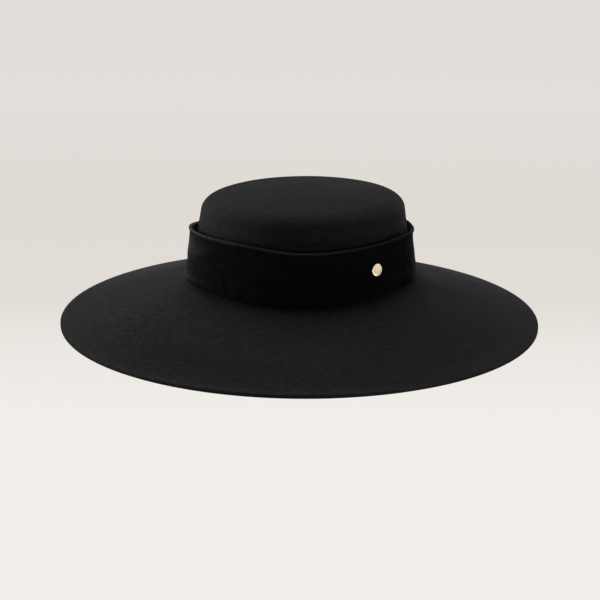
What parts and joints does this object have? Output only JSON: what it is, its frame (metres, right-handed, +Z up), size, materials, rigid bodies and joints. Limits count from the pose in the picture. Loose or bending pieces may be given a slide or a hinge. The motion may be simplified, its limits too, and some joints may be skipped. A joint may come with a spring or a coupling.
{
  "type": "wide-brimmed felt hat",
  "caption": "Wide-brimmed wool felt hat with a low flat-topped oval crown, a cloth band with a rolled top edge and a small round metal ornament, resting on its rim",
  "frame": {"origin": "centre of the rim on the surface that the hat rests on", "axes": "+Z up; +X along the long way of the head oval; -Y is the long side that carries the ornament"},
  "size_m": [0.435, 0.3984, 0.1208],
  "materials": {
    "felt": "matte blocked wool felt with a short nap",
    "band_cloth": "deep black pile cloth, sheen at grazing angles",
    "gold_metal": "polished pale gold tone"
  },
  "bodies": {
    "root": {"crown": "felt", "brim": "felt", "hat_band": "band_cloth", "disc_ornament": "gold_metal"}
  },
  "joints": []
}
